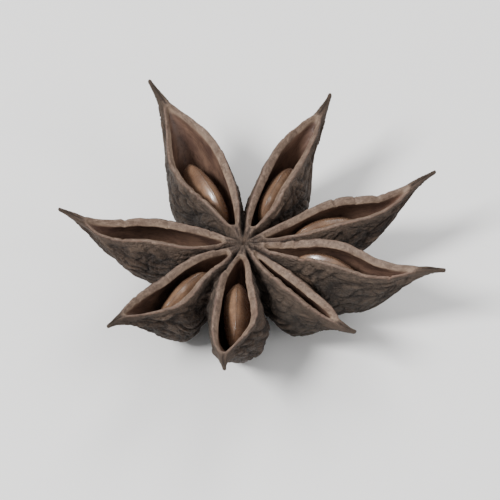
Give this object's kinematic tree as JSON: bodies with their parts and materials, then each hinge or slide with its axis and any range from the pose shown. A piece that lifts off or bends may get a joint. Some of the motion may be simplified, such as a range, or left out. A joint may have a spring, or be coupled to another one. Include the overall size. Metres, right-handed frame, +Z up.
{
  "type": "star anise pod",
  "caption": "Dried star-shaped spice fruit lying open side up: boat-shaped follicles with split seams and upturned beaks round a short column, flat glossy seeds held inside, stalk stump below.",
  "frame": {"origin": "middle of the broken end of the stalk's stump, on the plane the fruit rests on", "axes": "+Z up out of the open side, along the central column; +X along the plane, in the gap between two follicles; bearings run anticlockwise from +X"},
  "size_m": [0.0278, 0.0262, 0.0081],
  "materials": {
    "husk": "dry, wrinkled and matt outside; smooth with a dull sheen inside the hollows",
    "seed": "hard, smooth and glossy"
  },
  "bodies": {
    "root": {"husk": "husk", "seed_1": "seed", "seed_2": "seed", "seed_3": "seed", "seed_4": "seed", "seed_5": "seed", "seed_6": "seed"}
  },
  "joints": []
}
